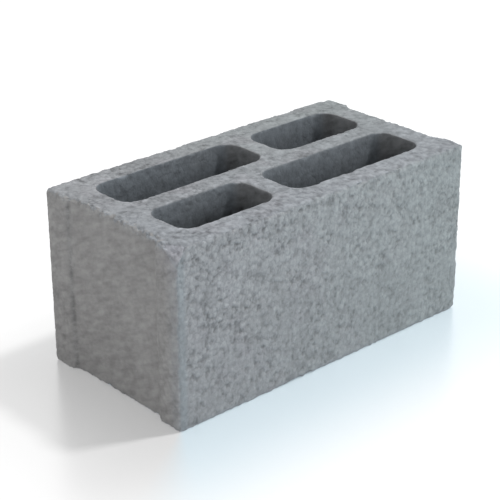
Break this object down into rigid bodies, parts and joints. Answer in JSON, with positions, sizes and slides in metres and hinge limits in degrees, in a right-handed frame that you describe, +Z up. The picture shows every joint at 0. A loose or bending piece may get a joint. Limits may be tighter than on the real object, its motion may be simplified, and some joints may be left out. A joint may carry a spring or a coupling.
{
  "type": "hollow concrete block",
  "caption": "Hollow concrete masonry block with staggered upright cores and a shallow mortar recess in each end.",
  "frame": {"origin": "middle of the underside, on the level floor that the block stands on", "axes": "+X along the block's length, +Y across its width, +Z up; the cores run along Z and are widest at the top"},
  "size_m": [0.39, 0.2, 0.19],
  "materials": {
    "concrete": "matte"
  },
  "bodies": {
    "root": {"concrete_block": "concrete"}
  },
  "joints": []
}
